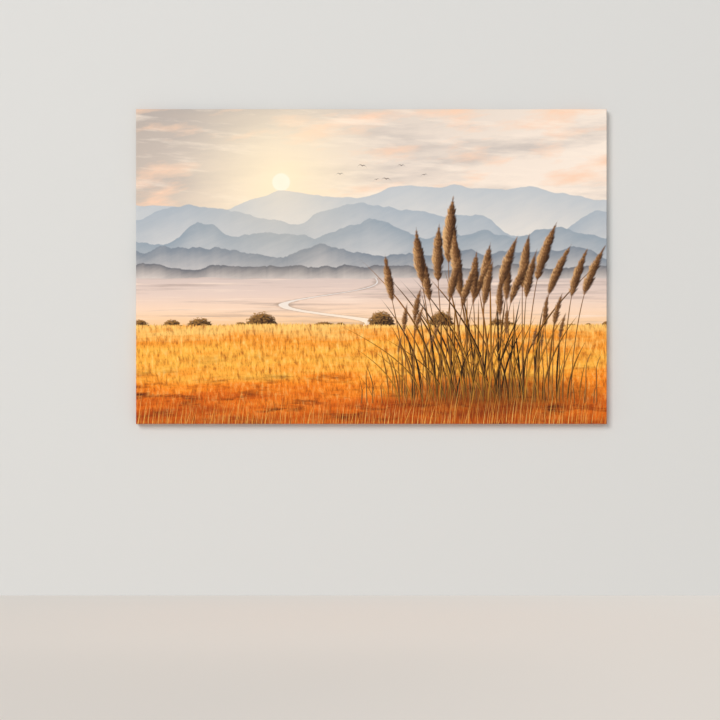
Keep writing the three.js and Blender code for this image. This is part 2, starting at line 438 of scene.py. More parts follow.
@dataclass(frozen=True)
class StemRow:
    """A row of stems in the print, one to a cell, whose heights, places and bends are drawn by lot.

    root is the height of their feet, tall the length of the tallest, cell a cell's width and lean how far the
    tops lean to the right. A stem strays by the share stray of its cell, and is at least the share shortest of
    the full length. A clump stands at middle and reaches as far as spread to both sides.
    """

    root: float
    tall: float
    cell: float
    lean: float
    seed: float
    stray: float = 0.3
    shortest: float = 0.55
    middle: float = 0.0
    spread: float = 0.0

    def grow(self, s: Layer) -> Tuple[Wire, Wire, Wire, Wire]:
        """Finds the stem whose cell a point is in.

        The row leans by its whole lean at the top, as the square of the height. In the cell left over, the
        stem stands near the middle and strays further with the square of its own length. A clump's stems
        grow shorter away from its middle, as one less the square of the distance over the spread. A lot is
        stretched, because it seldom leaves the range from 0.2 to 0.8.

        Args:
            s: The layer.

        Returns:
            The distance to the right of the stem's middle in metres, the place along the stem from its root
            at 0 to its tip at 1, its length in metres, and a random amount for it.
        """
        rise = s.z.climb(self.root, self.root + self.tall)
        offset = self.seed * CELL_SHIFT
        column = (rise * rise).line(-self.lean, s.x).line(1.0 / self.cell, offset)
        number = column.floor()
        first, second, third = s.lots(number, self.seed)
        change = self.tall * (1.0 - self.shortest) * LOT_STRETCH
        length = first.line(change, self.tall - change * LOT_HIGH)
        if self.spread:
            start = (0.5 - offset) * self.cell - self.middle
            away = number.line(self.cell / self.spread, start / self.spread)
            length = s.calc("MAXIMUM", length * (1.0 - away * away), 1 * MM)
        along = (s.z - self.root) / length
        stray = self.stray * LOT_STRETCH
        bend = along * along * third.line(stray, -stray / 2)
        place = second.line(-stray, column.fraction()) - bend
        return place.line(self.cell, self.cell * (stray - 1.0) / 2), along, length, second


@dataclass(frozen=True)
class Landscape:
    """The print's generic picture: a low sun, misty hills, a river, a dry meadow and tall plume grass.

    Heights are shares of the picture's height from its lower edge, or metres from its middle where they go
    with z. Widths are metres.
    """

    width: float
    height: float
    bleed: float
    sun: Tuple[float, float] = (-0.46, 0.43)
    sun_radius: float = 0.045
    shore: float = 0.462
    meadow: float = 0.315
    crisp: float = 0.8 * MM
    clump: float = 0.58

    def share_up(self, s: Layer) -> Wire:
        """The share of the picture's height."""
        return s.z.line(1.0 / self.height, 0.5)

    def from_sun(self, s: Layer) -> Wire:
        """How far a point is from the middle of the sun, in metres."""
        right, up = s.x - self.sun[0], s.z - self.sun[1]
        return s.calc("SQRT", right * right + up * up)

    def sky(self, s: Layer) -> None:
        """Cream near the hills and grey beige above, with drifting cloud, and a pale sun in its glow.

        Args:
            s: The layer.
        """
        s.seen = s.ramp(
            self.share_up(s), (0.55, 0.970, 0.895, 0.815), (0.72, 0.945, 0.870, 0.795),
            (0.86, 0.865, 0.810, 0.760), (1.00, 0.765, 0.725, 0.690),
        )
        s.lay(s.x.climb(-0.9, 1.3) * 0.9, (0.985, 0.925, 0.865))
        s.lay(s.x.climb(-0.45, -1.25) * 0.7, (0.700, 0.655, 0.620))
        for wide, tall, seed, detail, rough, turn, thin, thick, most, tint in (
            (0.62, 0.115, 2.3, 7.0, 0.56, 3.0, 0.47, 0.72, 0.70, (0.705, 0.675, 0.660)),
            (0.46, 0.125, 7.1, 8.0, 0.55, 8.0, 0.50, 0.66, 0.85, (0.975, 0.820, 0.705)),
            (0.34, 0.050, 4.7, 6.0, 0.58, -4.0, 0.52, 0.76, 0.70, (0.995, 0.935, 0.870)),
        ):
            s.lay(s.drift(wide, tall, seed, detail, rough, turn).climb(thin, thick) * most, tint)
        away = self.from_sun(s)
        glow = away.climb(0.70, 0.0)
        s.lay(glow * glow, (1.0, 0.930, 0.790))
        s.cover(self.sun_radius - away, (1.0, 0.985, 0.925), 4 * MM)

    def birds(self, s: Layer) -> None:
        """A loose flight of birds, whose wings arch as a parabola and thin to nothing at their tips.

        Args:
            s: The layer.
        """
        for bird in range(6):
            size = (19 + 5 * math.sin(bird * 2.4)) * MM
            right = s.x.line(1.0 / size, (0.16 - 0.085 * bird + 0.03 * math.sin(bird * 5.0)) / size)
            up = s.z.line(1.0 / size, (-0.47 - 0.045 * math.sin(bird * 1.9)) / size)
            span = abs(right)
            arch = span * span.line(-1.15, 1.05 + 0.1 * math.cos(bird * 3.0))
            edge = span.line(-0.11, 0.11) - abs(up - arch - right * (0.2 * math.sin(bird * 4.0)))
            s.cover(edge, (0.330, 0.285, 0.270), 0.05)

    def hills(self, s: Layer) -> None:
        """Layers of hills, each nearer, lower and darker, that fade into the mist at their feet.

        A crest is a level plus noise along it, whose finest layers are its trees.

        Args:
            s: The layer.
        """
        h = self.share_up(s)
        for level, tall, broad, seed, rough, thick, near, far in (
            (0.725, 0.34, 1.30, 4.2, 0.42, 7.0, (0.755, 0.775, 0.790), (0.880, 0.860, 0.835)),
            (0.672, 0.36, 0.95, 11.7, 0.44, 7.5, (0.675, 0.710, 0.742), (0.820, 0.815, 0.810)),
            (0.605, 0.28, 0.74, 19.3, 0.47, 9.0, (0.595, 0.640, 0.680), (0.785, 0.785, 0.785)),
            (0.545, 0.17, 0.60, 31.1, 0.52, 12.0, (0.515, 0.550, 0.590), (0.790, 0.770, 0.760)),
            (0.500, 0.07, 0.42, 47.5, 0.60, 22.0, (0.445, 0.450, 0.470), (0.830, 0.785, 0.755)),
        ):
            crest = s.wander(s.x, broad, seed, 9.0, rough).line(tall, level - tall / 2)
            depth = crest - h
            spur = s.drift(0.150, 0.032, seed, 6.0, 0.60, 24.0)
            mist = depth.line(thick, spur.line(0.50, -0.27))
            s.cover(depth, s.mix(mist, near, far), 1.2 * MM)
        haze = self.from_sun(s).climb(0.62, 0.0)
        s.lay(haze * haze * 0.5, (1.0, 0.925, 0.800))

    def plain(self, s: Layer) -> None:
        """A pale plain with level bands, crossed by a winding river that mirrors the sky between its reeds.

        The river's middle follows a sine whose swing grows towards the viewer, as does its width.

        Args:
            s: The layer.
        """
        h = self.share_up(s)
        s.seen = s.ramp(
            h, (0.30, 0.965, 0.775, 0.545), (0.36, 0.975, 0.845, 0.735),
            (0.41, 0.905, 0.810, 0.755), (0.47, 0.835, 0.765, 0.735),
        )
        s.lay(s.drift(0.80, 0.030, 4.4, 6.0, 0.62).climb(0.50, 0.78), (0.620, 0.545, 0.510))
        s.lay(s.drift(0.60, 0.022, 14.4, 4.0, 0.60).climb(0.55, 0.72) * 0.7, (0.990, 0.900, 0.825))
        near = h.climb(0.462, 0.300)
        swing = s.calc("SINE", near.line(7.6, 1.1)) * near.line(0.34, 0.07)
        reeds = s.drift(0.05, 0.007, 5.5, 5.0, 0.65)
        inside = (near * near).line(0.078, 0.003) - abs(near.line(-0.34, -0.04) + swing - s.x)
        inside = reeds.line(near.line(0.030, 0.006), near.line(-0.015, -0.003) + inside)
        s.lay(inside.line(24.0, reeds.line(1.6, -0.15)) * 0.65, (0.500, 0.400, 0.310))
        water = s.mix(near.line(1.3, -0.25), (0.900, 0.880, 0.870), (1.0, 0.915, 0.810))
        s.cover(inside, water, 2 * MM)
        shore = s.wander(s.x, 0.5, 21.0, 6.0, 0.6).line(0.022, self.shore - 0.011)
        s.trim(shore - h, 1.5 * MM)

    def bushes(self, s: Layer) -> None:
        """Bushes scattered along the meadow's far edge, lit from the upper left.

        Each is an ellipse round its foot in a cell of its own, roughened by its leaves. Lots give its place,
        its width and its height as a share of that, and the lowest ones stay hidden in the grass.

        Args:
            s: The layer.
        """
        leaves = s.drift(0.013, 0.009, 2.0, 4.0, 0.7)
        rise = s.z - (self.meadow - 0.512) * self.height
        for cell, seed in ((0.083, 3.0), (0.310, 9.0), (0.170, 23.0)):
            column = s.x.line(1.0 / cell, seed * CELL_SHIFT)
            place, squat, spread = s.lots(column.floor(), seed)
            half = spread.line(0.36, 0.03)
            high = s.calc("MAXIMUM", half * squat.line(2.7, -0.62), 0.02)
            wide = (place.line(-0.4, column.fraction()) - 0.30) / half
            up = rise / (high * cell)
            edge = leaves.line(1.9, 0.05) - (up * up + wide * wide)
            light = leaves.line(3.2, (up * 0.75 - wide * 0.35) - 1.75)
            s.cover(edge, s.mix(light, (0.205, 0.140, 0.100), (0.690, 0.500, 0.270)), 0.10)

    def grass(self, s: Layer) -> None:
        """A meadow that runs from gold to rust towards the viewer, in drifts, with upright streaks.

        Its brow is a level plus slow and fine noise along it. Tufts have brown hollows and pale tips, and
        an elliptical shadow lies under the clump of plume grass.

        Args:
            s: The layer.
        """
        h = self.share_up(s)
        fringe = s.wander(s.x, 6 * MM, 40.0, 3.0, 0.7)
        brow = s.wander(s.x, 0.75, 43.0, 3.0).line(0.014, fringe.line(0.022, self.meadow - 0.018))
        sweep = s.drift(0.55, 0.080, 8.8, 7.0, 0.62, 2.0)
        s.seen = s.ramp(
            sweep.line(0.95, h.line(1.0 / self.meadow, -0.475)), (0.00, 0.690, 0.280, 0.055),
            (0.20, 0.870, 0.415, 0.085), (0.42, 0.975, 0.550, 0.135), (0.64, 1.0, 0.720, 0.275),
            (0.82, 0.965, 0.600, 0.190), (1.00, 0.985, 0.765, 0.410),
        )
        fine = s.drift(3.2 * MM, 60 * MM, 1.0, 4.0, 0.65, -4.0)
        tufts = s.drift(17 * MM, 52 * MM, 6.0, 5.0, 0.66, 5.0)
        s.lay(tufts.climb(0.50, 0.26), (0.560, 0.235, 0.060))
        s.lay(tufts.climb(0.52, 0.82) * h.climb(-0.05, 0.20), (1.0, 0.865, 0.520))
        s.seen = s.shade(s.seen, fine.line(1.2, 0.40))
        patch = s.drift(0.26, 0.050, 15.0, 6.0, 0.66)
        s.lay(patch.line(9.0, fine.line(3.0, -6.25)) * h.climb(0.24, 0.10) * 0.7, (0.370, 0.150, 0.055))
        across, up = s.x.line(1.6, -0.98), s.z.line(7.5, 4.95)
        shadow = (across * across + up * up).line(-1.0, fine.line(1.0, 0.45))
        s.lay(shadow * 0.75, (0.245, 0.110, 0.050))
        s.trim(brow - h, 1.2 * MM)

    def blades(self, s: Layer) -> None:
        """Rows of single blades along the lower edge, taller and sharper than the meadow behind them.

        Args:
            s: The layer.
        """
        for number, (tall, lean, foot, tip) in enumerate((
            (0.33, 0.060, (0.720, 0.340, 0.090), (1.0, 0.740, 0.320)),
            (0.28, -0.045, (0.480, 0.200, 0.060), (0.930, 0.580, 0.200)),
            (0.26, 0.025, (0.780, 0.410, 0.120), (1.0, 0.850, 0.490)),
            (0.21, -0.020, (0.380, 0.150, 0.050), (0.850, 0.460, 0.150)),
            (0.18, 0.040, (0.660, 0.310, 0.090), (1.0, 0.800, 0.400)),
        )):
            row = StemRow(
                root=-self.height / 2 - 0.085, tall=tall, cell=0.017 + 0.0035 * number, lean=lean,
                seed=2.0 + 3.1 * number, stray=0.5, shortest=0.2,
            )
            half = (1.7 + 0.4 * number) * MM
            across, along, _, lot = row.grow(s)
            colour = s.mix(along.line(0.9, lot - 0.5), foot, tip)
            s.cover(along.line(-half, half) - abs(across), colour, self.crisp)

    def leaves(self, share: float, s: Layer) -> None:
        """Three rows of the clump's long leaves, which arch outwards.

        A leaf's half width is a parabola along it, lower on a leaf that is shorter than usual.

        Args:
            share: The rows' place from the back of the clump at 0 to its front at 1.
            s: The layer.
        """
        for part in range(3):
            turn = ((part * 2 + share * 3.0) % 3.0) / 1.5 - 1.0
            row = StemRow(
                root=-0.69 - 0.02 * share, tall=0.92 - 0.30 * share - 0.10 * abs(turn), cell=0.062,
                lean=turn * (0.50 + 0.20 * share), seed=60.0 + part * 2.3 + share * 41.0, stray=0.55,
                shortest=0.35, middle=self.clump + turn * 0.20, spread=0.46,
            )
            across, along, length, lot = row.grow(s)
            broad = s.calc("MINIMUM", length * 0.055, 21 * MM)
            half = along * (1.0 - along) * broad - 0.2 * MM
            pale = (0.610 + 0.12 * share, 0.400 + 0.10 * share, 0.165)
            blade = s.mix(across.line(-120.0, lot.line(2.2, -0.75)), (0.150, 0.095, 0.045), pale)
            s.cover(half - abs(across), blade, self.crisp)

    def plumes(self, share: float, s: Layer) -> None:
        """A row of tall plume grass, with feathery heads lit from the left.

        A stalk nods past six tenths of its length, by the square of the rest. A head's half width is the
        share of its length to a power, times what is left of it, roughened by noise that runs outwards and
        upwards as its hairs do.

        Args:
            share: The row's place from the back of the clump at 0 to its front at 1.
            s: The layer.
        """
        turn = (share * 18.0) % 7.0 / 6.0 - 0.5
        row = StemRow(
            root=-0.70, tall=1.22 - 0.22 * abs(turn), cell=0.180, lean=turn * 0.56, seed=80.0 + share * 10.2,
            stray=0.2, shortest=0.55, middle=self.clump + turn * 0.24, spread=0.58,
        )
        across, along, length, lot = row.grow(s)
        nod = s.calc("MAXIMUM", along - 0.60, 0.0)
        across = (nod * nod).line(-0.26, across)
        wide = abs(across)
        stalk = s.calc("MINIMUM", along.line(0.05, 0.0), along.line(-7 * MM, 6.4 * MM))
        stalk = s.calc("MINIMUM", stalk, 2.4 * MM)
        straw = s.mix(across.line(-260.0, 0.45), (0.200, 0.125, 0.070), (0.640, 0.430, 0.220))
        s.cover(stalk - wide, straw, self.crisp)
        head = along.climb(0.66, 1.0)
        hairs = s.join(wide.line(70.0, along * -40.0), along * 17.0, lot.line(40.0, share * 19.0))
        tuft = s.noise(hairs, 3.0, 0.6)
        wool = s.noise(hairs, 3.0, 0.65, 3.7)
        edge = head ** 0.62 * (1.0 - head) * tuft.line(0.125, 0.052) * length - wide
        light = across.line(-26.0, wool.line(2.0, -0.62))
        dim = s.mix(light, (0.225, 0.140, 0.085), (0.640, 0.440, 0.265))
        lit = s.mix(light.line(1.0, -0.55), dim, (0.985, 0.800, 0.560))
        s.lay(edge.line(120.0, wool.line(1.7, -1.35)), lit)

    def colour(self, s: ClothFinish) -> Wire:
        """The whole picture, with the bare cloth beyond the printed edge.

        Args:
            s: The cloth's finish.

        Returns:
            The colour of the cloth's outer face.
        """
        back, middle, front = (partial(self.leaves, share) for share in (0.0, 0.5, 1.0))
        plumes = [partial(self.plumes, row / 6.0) for row in range(7)]
        painters: List[Callable[[Layer], None]] = [
            self.sky, self.birds, self.hills, self.plain, self.bushes, self.grass,
            back, *plumes[:4], middle, *plumes[4:], front, self.blades,
        ]
        seen: Tint = (0.5, 0.5, 0.5)
        for number, paint in enumerate(painters):
            layer = Layer(f"picture_layer_{number}")
            paint(layer)
            seen = s.make("Group", {0: s.x, 1: s.z, 2: seen}, node_tree=layer.close())
        past = [abs(way) - (size / 2 + self.bleed) for way, size in ((s.x, self.width), (s.z, self.height))]
        return s.mix(s.calc("MAXIMUM", *past).inside(0.4 * MM), seen, (0.93, 0.92, 0.89))


@dataclass(frozen=True)
class PrintedCotton:
    """Cotton canvas with a matt ink layer, which lets the weave show."""

    picture: Landscape
    weave: Weave = Weave()

    def material(self) -> Material:
        """The outer face: the picture, with painted shade a little darker between the threads, and the weave as
        relief.

        Returns:
            The material.
        """
        s = ClothFinish("printed_canvas")
        threads = self.weave.height(s)
        mottle = s.drift(0.11, 0.11, 5.0)
        # The print, with painted shade where the threads lie low, and random mottle in its tone.
        ink = s.shade(self.picture.colour(s), threads.line(0.035, mottle.line(0.03, 0.955)))
        return s.finish(
            Base_Color=ink, Roughness=mottle.line(0.12, 0.70), Specular_IOR_Level=0.14,
            Normal=s.relief(threads, self.weave.tall, 0.55),
        )


@dataclass(frozen=True)
class RawCotton:
    """The unprinted back of the cloth, faintly darker where the ink lies heavy on the other side."""

    height: float
    weave: Weave = Weave()

    def material(self) -> Material:
        """Natural cotton with flecks of seed husk, the picture's tones faintly showing through, and painted shade
        between the threads.

        Returns:
            The material.
        """
        s = ClothFinish("raw_canvas")
        threads = self.weave.height(s)
        through = s.ramp(
            s.z.line(1.0 / self.height, 0.5), (0.00, 0.800, 0.735, 0.655), (0.28, 0.835, 0.790, 0.710),
            (0.50, 0.845, 0.820, 0.770), (1.00, 0.870, 0.850, 0.805),
        )
        cloudy = s.drift(0.33, 0.33, 2.0, 5.0, 0.6)
        husk = s.drift(3.8 * MM, 5.2 * MM, 9.0, 1.0)
        # Painted shade where the threads lie low, and a cloudy tone.
        cotton = s.shade(through, threads.line(0.07, cloudy.line(0.06, 0.92)))
        cotton = s.mix(husk.climb(0.74, 0.80) * 0.7, cotton, (0.50, 0.41, 0.29))
        return s.finish(
            Base_Color=cotton, Roughness=0.9, Specular_IOR_Level=0.15,
            Normal=s.relief(threads, self.weave.tall, 0.8),
        )


@dataclass(frozen=True)
class PlanedPine:
    """Planed pine: rings that run nearly straight along a board, with a few knots and fine pores.

    ring is the width of a year's ring, and cutter the pitch of the planer's marks.
    """

    name: str
    grain: Grain
    seed: float
    ring: float = 4.2 * MM
    cutter: float = 4.2 * MM

    def material(self) -> Material:
        """The board's finish.

        A ring's number is the distance from a heart line beside the board over the ring's width, bent by
        slow noise along the board and round the knots, and stretched by noise along the distance so that
        good and poor years differ. Its fraction runs from pale early wood to a dark late line.

        Returns:
            The material.
        """
        s = Finish(self.name)
        x, y, z = s.object_place()
        along, across = (x, z) if self.grain is Grain.ACROSS else (z, x)
        board = (along + self.seed * 3.7, across, y)
        wander = s.wander(board[0], 0.77, self.seed, 3.0, 0.45)
        waver = s.flecks(board, (5.0, 26.0, 26.0), 2.0)
        knots = {"Vector": s.stretch(board, (2.1, 11.0, 4.0)), "Scale": 1.0}
        far = s.make("TexVoronoi", knots, "Distance", feature="F1")
        side = wander.line(0.045, across) + (0.012 + 0.05 * math.sin(self.seed * 2.1))
        deep = y + 0.016 + 0.018 * math.cos(self.seed * 1.7)
        radius = s.calc("SQRT", side * side + deep * deep)
        radius = radius + waver.line(2.2 * MM, far.climb(0.45, 0.0) * (6 * MM))
        year = s.wander(radius, 13 * MM, self.seed * 5.3, 3.0, 0.6)
        ring = year.line(1.9, radius / self.ring).fraction()
        wood = s.ramp(
            ring, (0.00, 0.905, 0.790, 0.605), (0.45, 0.890, 0.765, 0.570), (0.80, 0.835, 0.680, 0.470),
            (0.93, 0.755, 0.580, 0.375), (1.00, 0.890, 0.770, 0.580),
        )
        fibre = s.flecks(board, (18.0, 900.0, 900.0), 3.0, 0.6)
        stain = s.flecks(board, (2.5, 12.0, 12.0), 4.0)
        wood = s.shade(wood, fibre.line(0.12, stain.line(0.14, 0.87)))
        heart = s.mix((far * 34.0).fraction(), (0.42, 0.24, 0.12), (0.58, 0.36, 0.19))
        wood = s.mix(far.climb(0.15, 0.09) * 0.9, wood, heart)
        planer = s.calc("SINE", along * (2.0 * math.pi / self.cutter)) * 0.15
        return s.finish(
            Base_Color=wood, Roughness=fibre.line(0.22, 0.50), Specular_IOR_Level=0.35,
            Normal=s.relief(fibre.line(0.8, ring.line(0.04, planer)), 0.10 * MM, 0.6),
        )


@dataclass(frozen=True)
class SawnBeech:
    """Beech for the keys: pink brown with short dark flecks."""

    def material(self) -> Material:
        """Flecks are noise drawn out along the grain, and saw marks are fine noise across it.

        Returns:
            The material.
        """
        s = Finish("beech")
        place = s.object_place()
        fleck = s.flecks(place, (260.0, 900.0, 260.0), 2.0)
        tone = s.flecks(place, (60.0, 60.0, 60.0), 4.0)
        saw = s.flecks(place, (700.0, 200.0, 700.0), 2.0)
        wood = s.mix(tone, (0.800, 0.630, 0.450), (0.720, 0.530, 0.360))
        wood = s.mix(fleck.climb(0.60, 0.72) * 0.55, wood, (0.50, 0.32, 0.19))
        return s.finish(
            Base_Color=wood, Roughness=tone.line(0.15, 0.58), Specular_IOR_Level=0.35,
            Normal=s.relief(saw + fleck, 0.12 * MM, 0.7),
        )


@dataclass(frozen=True)
class ZincPlate:
    """Pressed steel with a thin bright zinc coat."""

    name: str
    tone: float = 0.66

    def material(self) -> Material:
        """A cool grey metal, a little cloudy, with fine drawing lines.

        Returns:
            The material.
        """
        s = Finish(self.name)
        place = s.object_place()
        cloud = s.flecks(place, (240.0, 240.0, 240.0), 4.0, 0.6)
        lines = s.flecks(place, (90.0, 2600.0, 2600.0), 2.0)
        cool = (self.tone, self.tone + 0.01, self.tone + 0.03)
        bright = (self.tone + 0.13, self.tone + 0.12, self.tone + 0.09)
        return s.finish(
            Base_Color=s.mix(cloud, cool, bright), Metallic=1.0, Roughness=cloud.line(0.24, 0.34),
            Normal=s.relief(lines, 0.02 * MM, 0.4),
        )


@dataclass(frozen=True)
class BlackRubber:
    """Soft moulded pads, with pale dust here and there."""

    def material(self) -> Material:
        """Near black with a fine grain and pale dust where slow noise gathers it.

        Returns:
            The material.
        """
        s = Finish("rubber")
        place = s.object_place()
        grain = s.flecks(place, (1500.0, 1500.0, 1500.0), 2.0)
        dust = s.flecks(place, (120.0, 120.0, 120.0), 4.0, 0.6)
        black = s.mix(dust.climb(0.45, 0.80) * 0.35, (0.085, 0.085, 0.090), (0.30, 0.29, 0.27))
        return s.finish(
            Base_Color=black, Roughness=dust.line(0.2, 0.72), Specular_IOR_Level=0.3,
            Normal=s.relief(grain, 0.06 * MM, 0.6),
        )


def put_in_scene(name: str, data: ID) -> Object:
    """Makes an object and links it to the scene.

    Args:
        name: The object's name.
        data: Its mesh, lamp or camera.

    Returns:
        The object, at the origin.
    """
    made = bpy.data.objects.new(name, data)
    bpy.context.scene.collection.objects.link(made)
    return made


def smooth_piece(mesh: Mesh, *materials: Material) -> Object:
    """Makes a smooth piece of a mesh.

    Args:
        mesh: The mesh, named as the piece is to be.
        *materials: Its finishes.

    Returns:
        The piece, at the origin.
    """
    mesh.polygons.foreach_set("use_smooth", np.ones(len(mesh.polygons), dtype=bool))
    for material in materials:
        mesh.materials.append(material)
    return put_in_scene(mesh.name, mesh)


def from_arrays(name: str, places: Array, faces: Array) -> Mesh:
    """Makes a mesh.

    Args:
        name: The mesh's name.
        places: Rows of x, y and z.
        faces: Rows of four vertex numbers.

    Returns:
        The mesh.
    """
    mesh = bpy.data.meshes.new(name)
    mesh.from_pydata(places.tolist(), [], faces.tolist())
    return mesh


def settle(piece: Object) -> None:
    """Fixes a piece to the model's one body and reports it.

    Args:
        piece: The piece.
    """
    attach(piece, ROOT)
    log.info("%s: %d faces", piece.name, len(piece.data.polygons))


@dataclass(frozen=True)
class Softener:
    """Rounds the sharp edges of a hard-edged node's copy.

    Vertices closer than merge become one, and so do faces that meet at less than flat_angle. Edges over
    sharp_angle are rounded over round_to in that many steps, with that bulge, and what is then shorter than
    sliver is taken out. Edges over crease_angle stay sharp in the shading.
    """

    slot: Slot
    round_to: float
    steps: int = 2
    merge: float = 1e-6
    sliver: float = 1e-5
    flat_angle: float = math.radians(1)
    sharp_angle: float = math.radians(28)
    crease_angle: float = math.radians(40)
    bulge: float = 0.6

    def replace(self, node: str, prefix: str, material: Material) -> Object:
        """Stands the rounded copy in the node's place.

        Args:
            node: The node to copy and replace.
            prefix: What the new piece's name has before the node's.
            material: Its finish.

        Returns:
            The new piece.
        """
        work = bmesh.new()
        work.from_mesh(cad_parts[node].data)
        bmesh.ops.remove_doubles(work, verts=work.verts, dist=self.merge)
        bmesh.ops.dissolve_limit(work, angle_limit=self.flat_angle, verts=work.verts, edges=work.edges)
        sharp = [e for e in work.edges if e.is_manifold and e.calc_face_angle() > self.sharp_angle]
        bmesh.ops.bevel(work, geom=sharp, offset=self.round_to, segments=self.steps, profile=self.bulge,
                        affect="EDGES", clamp_overlap=True)
        bmesh.ops.dissolve_degenerate(work, edges=work.edges, dist=self.sliver)
        mesh = bpy.data.meshes.new(f"{prefix}_{node}")
        work.to_mesh(mesh)
        work.free()
        piece = smooth_piece(mesh, material)
        mesh.set_sharp_from_angle(angle=self.crease_angle)
        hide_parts(node)
        settle(piece)
        return piece


@dataclass(frozen=True)
class Bounds:
    """The sizes of the cloth and the frame in metres. The halves are the width's and the height's."""

    half: Array
    middle: float
    front: float
    back: float
    thickness: float
    flap: float

    @classmethod
    def measured(cls) -> "Bounds":
        """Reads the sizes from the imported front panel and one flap.

        Returns:
            The sizes.
        """
        low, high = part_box("canvas_front")
        flap_low, flap_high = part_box("canvas_flap_top")
        return cls(
            half=np.array([high[0] - low[0], high[2] - low[2]]) / 2, middle=(high[2] + low[2]) / 2,
            front=low[1], back=flap_high[1], thickness=high[1] - low[1], flap=high[2] - flap_low[2],
        )


@dataclass(frozen=True)
class Patch:
    """A rectangle in the square baking map: its lower left corner and its size."""

    left: float
    low: float
    wide: float
    tall: float

    def lay(self, across: Array, up: Array) -> Array:
        """Puts shares from 0 to 1 across and up the rectangle into the map."""
        return np.stack([self.left + self.wide * across, self.low + self.tall * up], axis=-1)


@dataclass
class StretchedCloth:
    """One sheet of canvas over the front, down the sides and turned in over the back, folded at the corners.

    The three rounds are radii of the outer face, and least_round is a radius for what counts as square. fold is
    how far a folded corner stands proud of its side. It rises over fold_edge on both sides of the corner's
    diagonal and fades out within fold_tuck of the corner. On the flap it runs on for patch, ends over patch_edge
    with a slant of patch_slant, and rises over patch_rise to the share patch_share of the fold. Between two
    staples a flap lifts by lift, past the share lift_from of its width. slack is the front's ripple, and fray
    how ragged the cut edge is.
    """

    sizes: Bounds
    front_round: float = 3.9 * MM
    back_round: float = 1.9 * MM
    corner_round: float = 2.0 * MM
    grid_step: float = 2.0 * MM
    corner_lines: int = 24
    front_rows: int = 6
    back_rows: int = 5
    flap_rows: int = 12
    fold: float = 1.1 * MM
    fold_edge: float = 1 * MM
    fold_tuck: float = 0.6 * MM
    patch: float = 33 * MM
    patch_edge: float = 3 * MM
    patch_rise: float = 4 * MM
    patch_slant: float = 0.2
    patch_share: float = 0.8
    least_round: float = 0.02 * MM
    staple_from: float = 60 * MM
    staple_step: float = 65 * MM
    lift: float = 0.7 * MM
    lift_from: float = 0.6
    slack: float = 0.35 * MM
    fray: float = 0.5 * MM
    bleed_on_flap: float = 9 * MM

    def staple_line(self, half: float, steps: int = 1) -> Array:
        """Where the staples of a side stand along it, in metres from its middle.

        Args:
            half: Half the side's length in metres.
            steps: How many places are given from one staple to the next.

        Returns:
            The places in rising order.
        """
        first = half - self.staple_from
        count = max(1, round(2 * first / self.staple_step))
        return np.linspace(-first, first, steps * count + 1)

    def lines(self, half: float) -> Array:
        """Where the grid's lines cross one side, as shares of its half length from -1 to 1.

        They stand close together by the corners, where the cloth is folded, and elsewhere at every staple
        and midway between two staples.

        Args:
            half: Half the side's length in metres.

        Returns:
            The shares in rising order.
        """
        bend = np.array([0.0, 0.25, 0.6, 1.0]) * MM
        near = np.concatenate([bend, np.arange(1, self.corner_lines) * self.grid_step])
        reach = half - self.front_round
        ends = reach - near
        return np.concatenate([-ends, self.staple_line(half, 2), ends[::-1]]) / reach

    def profile(self, inset: float) -> Array:
        """The cloth's section from the front's edge to its cut edge, for its outer or inner face.

        Two quarter circles join the front, the side and the flap. Their centres stay put as the face is
        inset, and their radii shrink by the inset.

        Args:
            inset: Distance in from the outer face, in metres.

        Returns:
            Rows of the distance in from the outer side, the depth, and the length along the outer face.
        """
        wide, tight = self.front_round, self.back_round
        top, bottom = self.sizes.front + wide, self.sizes.back - tight
        bend, turn = (np.linspace(0.0, QUARTER, rows) for rows in (self.front_rows, self.back_rows))
        run = np.linspace(top, bottom, round((bottom - top) / self.grid_step) + 1)[1:-1]
        inward = np.linspace(tight, self.sizes.flap, self.flap_rows)[1:]
        past_front = wide * QUARTER
        past_side = past_front + bottom - top
        stretches = (
            (wide - (wide - inset) * np.sin(bend), top - (wide - inset) * np.cos(bend), bend * wide),
            (np.full_like(run, inset), run, past_front + run - top),
            (tight - (tight - inset) * np.cos(turn), bottom + (tight - inset) * np.sin(turn),
             past_side + turn * tight),
            (inward, np.full_like(inward, self.sizes.back - inset), past_side + tight * (QUARTER - 1) + inward),
        )
        return np.concatenate([np.column_stack(stretch) for stretch in stretches])

    def bleed(self) -> float:
        """How far the print runs past the front's outline, round the side and onto the flap, in metres."""
        return float(self.profile(0.0)[-self.flap_rows, 2]) - self.front_round + self.bleed_on_flap

    def border(self, grid: Array) -> Array:
        """The values along a grid's edge, anticlockwise from the lower left corner."""
        return np.concatenate([grid[0, :-1], grid[:-1, -1], grid[-1, :0:-1], grid[:0:-1, 0]])

    def rounded(self, ring: Array, section: Array, inset: float) -> Array:
        """The rings' places before the corners are folded.

        A ring is the rectangle that is as far in from the outer side as the section says. A corner is
        rounded by pulling each point of the square corner to the circle in it.

        Args:
            ring: The border's x and z as shares of half the sides, two rows.
            section: The profile's rows after the first.
            inset: Distance in from the outer face, in metres.

        Returns:
            The rings' x and z in metres: two grids with a row to a ring.
        """
        inward, depth, length = (column[:, None] for column in section.T)
        flat = climb(inward - inset, 0.0, self.back_round) * (depth > self.sizes.front + 2 * self.front_round)
        bend = climb(length, 0.0, self.front_round * QUARTER)
        round_to = np.maximum(self.corner_round * bend * (1 - flat) - inset, self.least_round)
        reach = self.sizes.half[:, None, None] - inward
        place = ring[:, None] * reach
        past = np.abs(place) - (reach - round_to)
        pulled = past * past.max(axis=0) / np.maximum(np.hypot(*past), TINY)
        return np.where((past > 0).all(axis=0), np.sign(place) * (reach - round_to + pulled), place)

